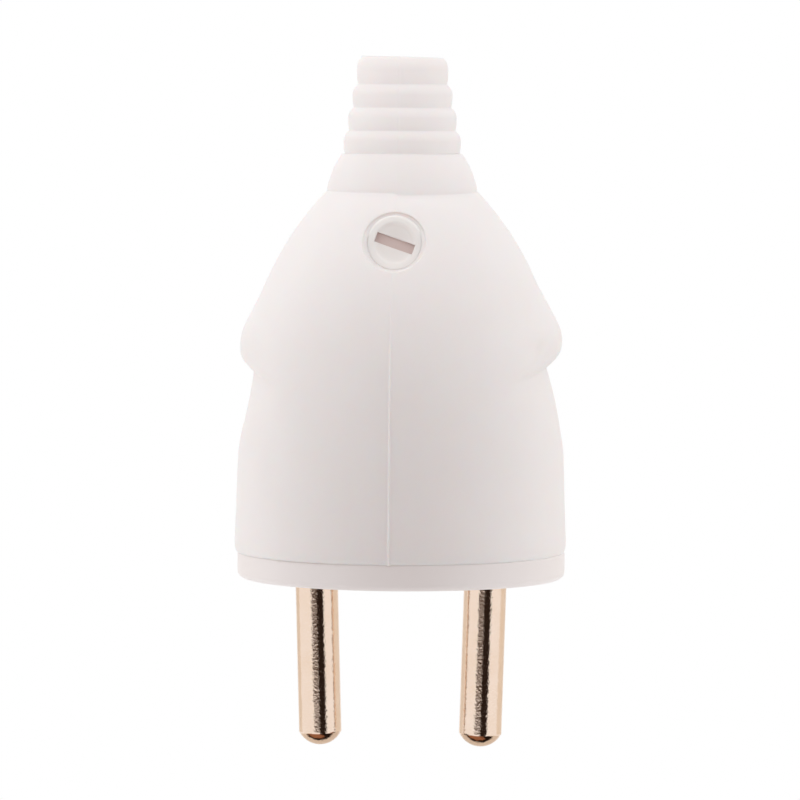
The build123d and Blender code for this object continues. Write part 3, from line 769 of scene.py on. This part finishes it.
for a in np.linspace(0, math.pi / 2, EDGE_LOOPS + 1)[1:]:
    radius = HEAD_R - HEAD_EDGE_R * (1 - math.sin(a))
    head_loops.append(head_points(circle * radius, float(head_face(np.array(radius)))))
for radius, depth in ((HEAD_R, PIT_FLOOR), (SHANK_R, PIT_FLOOR), (SHANK_R, PIT_FLOOR - SHANK_LENGTH)):
    head_loops.append(head_points(circle * radius, depth))
count = len(square)
last_first = (len(head_loops) - 1) * count
faces = [list(range(count)), list(range(last_first, last_first + count))[::-1]]
for low_first in range(0, last_first, count):
    low = low_first + np.arange(count)
    high = low + count
    faces += np.stack([low, high, np.roll(high, -1), np.roll(low, -1)], axis=1).tolist()
slotted_screw = add_piece("slotted_screw", (np.concatenate(head_loops) * MM).tolist(), faces)
slotted_screw.data.polygons.foreach_set("use_smooth", np.ones(len(faces), bool))
slotted_screw.data.set_sharp_from_angle(angle=SHARP_EDGE)

NYLON_PALE = "#F6F1EE"
NYLON_DISH_PAINTED_SHADE = "#F0EAE7"
NYLON_SLOT_PAINTED_SHADE = "#D8C3BE"
DISH_SHADE_DEPTHS = (0.10, 0.36)  # depths below the rim between which painted shade greys the dish
SLOT_SHADE_DEPTHS = (0.03, 0.13)  # depths below the dish between which painted shade gives the slot a warm tone
NYLON_CLOUD = 1.6 * MM
NYLON_ROUGHNESS = (0.30, 0.42)
NYLON_SEEP_SHARE = 0.3
NYLON_SEEP_DEPTH = 0.8 * MM
NYLON_SEEP = (1.0, 0.8, 0.7)

# Natural nylon: a cool translucent white, with painted shade that deepens with how far a point lies
# below the head.
nylon, tree, shader = start_material("nylon_natural_moulded")
place = add_node(tree, "ShaderNodeTexCoord").outputs["Object"]
along = add_node(
    tree,
    "ShaderNodeVectorMath",
    {0: place, 1: screw_out.tolist()},
    operation="DOT_PRODUCT",
).outputs["Value"]
rim_level = float(screw_origin @ screw_out) - HEAD_SINK
shades = ((rim_level, DISH_SHADE_DEPTHS, NYLON_DISH_PAINTED_SHADE), (rim_level - DISH_DEPTH, SLOT_SHADE_DEPTHS, NYLON_SLOT_PAINTED_SHADE))
tone = colour(NYLON_PALE)
# Painted shade: the dish, then the slot, is mixed towards a darker tone the deeper a point lies.
for level, (start, end), painted_shade in shades:
    depth = add_node(
        tree,
        "ShaderNodeMapRange",
        {"Value": along, "From Min": (level - start) * MM, "From Max": (level - end) * MM},
    )
    tint = add_node(
        tree,
        "ShaderNodeMix",
        {0: depth.outputs[0], 6: tone, 7: colour(painted_shade)},
        data_type="RGBA",
    )
    tone = tint.outputs[2]
cloud = add_node(tree, "ShaderNodeTexNoise", {"Vector": place, "Scale": 1 / NYLON_CLOUD, "Detail": 2.0})
gloss = add_node(
    tree,
    "ShaderNodeMapRange",
    {"Value": cloud.outputs["Fac"], "To Min": NYLON_ROUGHNESS[0], "To Max": NYLON_ROUGHNESS[1]},
)
shader["IOR"].default_value = POLYAMIDE_IOR
shader["Subsurface Weight"].default_value = NYLON_SEEP_SHARE
shader["Subsurface Radius"].default_value = NYLON_SEEP
shader["Subsurface Scale"].default_value = NYLON_SEEP_DEPTH
tree.links.new(tone, shader["Base Color"])
tree.links.new(gloss.outputs[0], shader["Roughness"])
slotted_screw.data.materials.append(nylon)
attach(slotted_screw, "root")
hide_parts("cover_screw")


# Floor: a pale round table top some way below the pins, so that the plug hangs free as in the studio.
# It is matt white card, a little lifted where it is seen or mirrored, to run into the background.

FLOOR_Z = -0.100
FLOOR_R = 0.40
FLOOR_SIDES = 128
FLOOR_WHITE = "#F8F8F8"
FLOOR_GLOW = "#FFFFFF"
FLOOR_LIFT = 0.06
FLOOR_ROUGHNESS = 0.9

spokes = np.linspace(0, 2 * math.pi, FLOOR_SIDES, endpoint=False)
floor_points = [(FLOOR_R * math.cos(a), FLOOR_R * math.sin(a), FLOOR_Z) for a in spokes]
floor = add_piece("floor", floor_points, [list(range(FLOOR_SIDES))])


def seen_or_mirrored(tree):
    """A socket that is 1 for what the camera sees itself, in a gloss or through a clear piece."""
    rays = add_node(tree, "ShaderNodeLightPath").outputs
    seen = rays["Is Camera Ray"]
    for kind in ("Is Glossy Ray", "Is Transmission Ray"):
        either = add_node(tree, "ShaderNodeMath", {0: seen, 1: rays[kind]}, operation="MAXIMUM")
        seen = either.outputs[0]
    return seen


# Matt white card: a plain paper white without any gloss.
white_card, tree, shader = start_material("white_card_matt")
seen = seen_or_mirrored(tree)
lift = add_node(tree, "ShaderNodeMath", {0: seen, 1: FLOOR_LIFT}, operation="MULTIPLY")
shader["Base Color"].default_value = colour(FLOOR_WHITE)
shader["Roughness"].default_value = FLOOR_ROUGHNESS
shader["Specular IOR Level"].default_value = 0.0
shader["Emission Color"].default_value = colour(FLOOR_GLOW)
tree.links.new(lift.outputs[0], shader["Emission Strength"])
floor.data.materials.append(white_card)


# Camera: a long lens a little above the plug and slightly to its right, as in the photograph.
# It stands 0.6 m off, and a slight roll gives the plug the small lean that it has there.

CAMERA_AWAY = 0.600
CAMERA_TURN = math.radians(4)
CAMERA_HEIGHT = 0.054
CAMERA_AIM_HEIGHT = 0.0199
CAMERA_SIDE = -0.00039
CAMERA_ROLL = math.radians(-0.3)
CAMERA_LENS, CAMERA_SENSOR = 241.3, 36.0

camera_data = bpy.data.cameras.new("camera")
camera_data.lens = CAMERA_LENS
camera_data.sensor_width = CAMERA_SENSOR
camera = bpy.data.objects.new("camera", camera_data)
bpy.context.scene.collection.objects.link(camera)
camera.location = (
    CAMERA_AWAY * math.sin(CAMERA_TURN) + CAMERA_SIDE,
    -CAMERA_AWAY * math.cos(CAMERA_TURN),
    CAMERA_HEIGHT,
)
tilt = math.atan2(CAMERA_HEIGHT - CAMERA_AIM_HEIGHT, CAMERA_AWAY)
camera.rotation_euler = (math.pi / 2 - tilt, CAMERA_ROLL, CAMERA_TURN)
bpy.context.scene.camera = camera
bpy.context.scene.view_settings.view_transform = "Standard"


# Light: a white tent all round, brightest above and to the left, as soft studio light.
# Dull cards shade the front and back a little, and others only show in the metal of the pins.

TENT_WHITE = "#FFFFFF"
TENT_AIM = (-0.48, 0.0, 0.877)
TENT_LIGHT = (0.835, 1.09)  # away from that side, and on it
TENT_SHOWN = 1.0  # where it is seen or mirrored

world = bpy.data.worlds.new("light_tent")
world.use_nodes = True
bpy.context.scene.world = world
tree = world.node_tree
toward = add_node(tree, "ShaderNodeTexCoord").outputs["Generated"]
facing = add_node(tree, "ShaderNodeVectorMath", {0: toward, 1: TENT_AIM}, operation="DOT_PRODUCT")
facing = facing.outputs["Value"]
tent = add_node(
    tree,
    "ShaderNodeMapRange",
    {"Value": facing, "From Min": -1.0, "To Min": TENT_LIGHT[0], "To Max": TENT_LIGHT[1]},
)
seen = seen_or_mirrored(tree)
shown = add_node(tree, "ShaderNodeMix", {0: seen, 2: tent.outputs[0], 3: TENT_SHOWN})
tree.links.new(shown.outputs[0], tree.nodes["Background"].inputs["Strength"])
tree.nodes["Background"].inputs["Color"].default_value = colour(TENT_WHITE)

# Matt paper: plain and dull, in six tones.
PAPER_TONES = {
    "black": "#2B201A",
    "dark": "#5E443E",
    "brown": "#AE7858",
    "grey": "#6E6661",
    "umber": "#432C1B",
    "tan": "#F0E7DA",
}
PAPER_ROUGHNESS = 0.95
papers = {}
for tone, hex_code in PAPER_TONES.items():
    papers[tone], _, shader = start_material(tone + "_paper_matt")
    shader["Base Color"].default_value = colour(hex_code)
    shader["Roughness"].default_value = PAPER_ROUGHNESS
    shader["Specular IOR Level"].default_value = 0.0


def studio_card(name, xs, ys, zs, tone, in_metal):
    """A flat card that isn't seen itself: it shows in metal alone, or it shades and isn't mirrored."""
    card = add_piece(name, list(zip(xs, ys, zs)), [[0, 1, 2, 3]])
    card.data.materials.append(papers[tone])
    card.visible_camera = False
    card.visible_glossy = in_metal
    card.visible_diffuse = not in_metal
    card.visible_shadow = not in_metal


def upright_card(name, xs, ys, zs, tone, in_metal):
    """A studio card that stands between two places, from one height to another."""
    studio_card(name, (*xs, *xs[::-1]), (*ys, *ys[::-1]), np.repeat(zs, 2), tone, in_metal)


# One card shades the front below the lens, and a paler one the back.
FRONT_CARD = ((-0.043, 0.046), (-0.070, -0.070), (-0.027, 0.028))
BACK_CARD = ((-0.060, 0.060), (0.110, 0.110), (-0.045, 0.035))
upright_card("front_card", *FRONT_CARD, "dark", False)
upright_card("back_card", *BACK_CARD, "grey", False)

# A dark panel stands to the right of the lens: the black half of the stripe down each pin.
# A dark strip on the floor leads up to it.
PANEL_AWAY = 1.0
PANEL_Y = (-PANEL_AWAY, -PANEL_AWAY)
PANEL_Z = (-0.25, 0.20)
PANEL_TURN = (-1.0, 34.6)
STRIP = (0.032, FLOOR_R)  # how far off it starts and ends
SHEET_OVER = 0.0005


def along_turns(away, turns):
    """Points at two angles from the lens, at a distance in front of the plug."""
    return [away * math.tan(math.radians(turn) + CAMERA_TURN) for turn in turns]


upright_card("panel", along_turns(PANEL_AWAY, PANEL_TURN), PANEL_Y, PANEL_Z, "black", True)
near, far = [along_turns(away, PANEL_TURN) for away in STRIP]
strip_z = (FLOOR_Z + SHEET_OVER,) * 4
studio_card("floor_strip", (*near, *far[::-1]), -np.repeat(STRIP, 2), strip_z, "black", True)

# Brown slats stand to the left of the lens, and end low down: the mottled half of the stripe.
SLAT_Z = (-0.172, 0.20)
SLAT_FIRST, SLAT_COUNT, SLAT_STEP, SLAT_WIDTH = -31.0, 4, 8.0, 7.4
for k in range(SLAT_COUNT):
    start = SLAT_FIRST + k * SLAT_STEP
    xs = along_turns(PANEL_AWAY, (start, start + SLAT_WIDTH))
    upright_card(f"slat_{k}", xs, PANEL_Y, SLAT_Z, "umber", True)

# Tan sheets behind on both sides warm the edges of the pins.
TAN_AWAY = 0.30
TAN_Z = (FLOOR_Z, 0.10)
TAN_TURNS = {"left": (-112.0, -150.0), "right": (96.0, 150.0)}
for side, turns in TAN_TURNS.items():
    ends = [math.radians(turn) + CAMERA_TURN for turn in turns]
    xs = [TAN_AWAY * math.sin(end) for end in ends]
    ys = [-TAN_AWAY * math.cos(end) for end in ends]
    upright_card(f"tan_{side}", xs, ys, TAN_Z, "tan", True)

# Close below the pins lies a tan sheet, with a black one and a slanting brown one on it for each pin.
# They show in the round ends.
PIN_TIP_X = {"left": -0.009, "right": 0.009}
FOOT_Z = -0.024
FOOT_TAN = ((-0.022, 0.022, 0.022, -0.022), (-0.007, -0.007, 0.014, 0.014))
FOOT_BLACK = ((-0.0085, 0.0078, 0.0078, -0.0085), (-0.0070, -0.0070, 0.0000, 0.0000))
FOOT_BROWN = ((-0.0085, -0.0010, 0.0026, -0.0085), (-0.0069, -0.0069, -0.0026, -0.0016))
studio_card("foot_tan", *FOOT_TAN, (FOOT_Z - 2 * SHEET_OVER,) * 4, "tan", True)
for side, middle in PIN_TIP_X.items():
    for tone, (xs, ys), z in (("brown", FOOT_BROWN, FOOT_Z), ("black", FOOT_BLACK, FOOT_Z - SHEET_OVER)):
        studio_card(f"foot_{tone}_{side}", [middle + x for x in xs], ys, (z,) * 4, tone, True)
